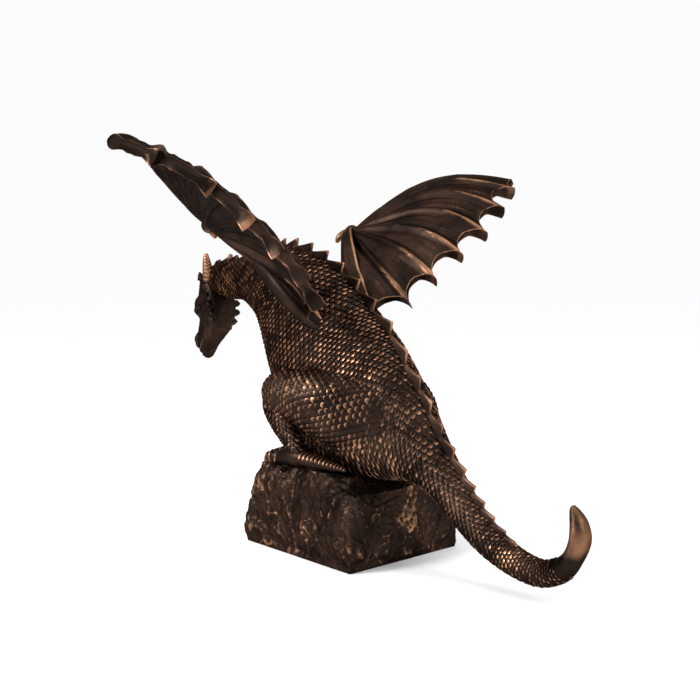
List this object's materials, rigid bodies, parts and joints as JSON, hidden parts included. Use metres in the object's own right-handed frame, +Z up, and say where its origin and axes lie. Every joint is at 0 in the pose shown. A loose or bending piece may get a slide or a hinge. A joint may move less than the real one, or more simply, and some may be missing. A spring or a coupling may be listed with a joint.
{
  "type": "dragon statue",
  "caption": "Cast bronze dragon with raised spread wings and a long upturned tail, crouching on its own rough rock plinth.",
  "frame": {"origin": "centre of the rock plinth's flat underside", "axes": "+Z up, the dragon faces -Y with its tail towards +Y, and its left wing is at +X"},
  "size_m": [0.4016, 0.427, 0.3002],
  "materials": {
    "figure_bronze": "dark brown antique bronze patina, rubbed through to warm copper on scale edges, crest, fingertips and horns",
    "rock_bronze": "dark brown antique bronze patina on rough-hewn rock, rubbed to copper along ridges and veins"
  },
  "bodies": {
    "root": {"dragon": "figure_bronze", "rock_plinth": "rock_bronze"}
  },
  "joints": []
}
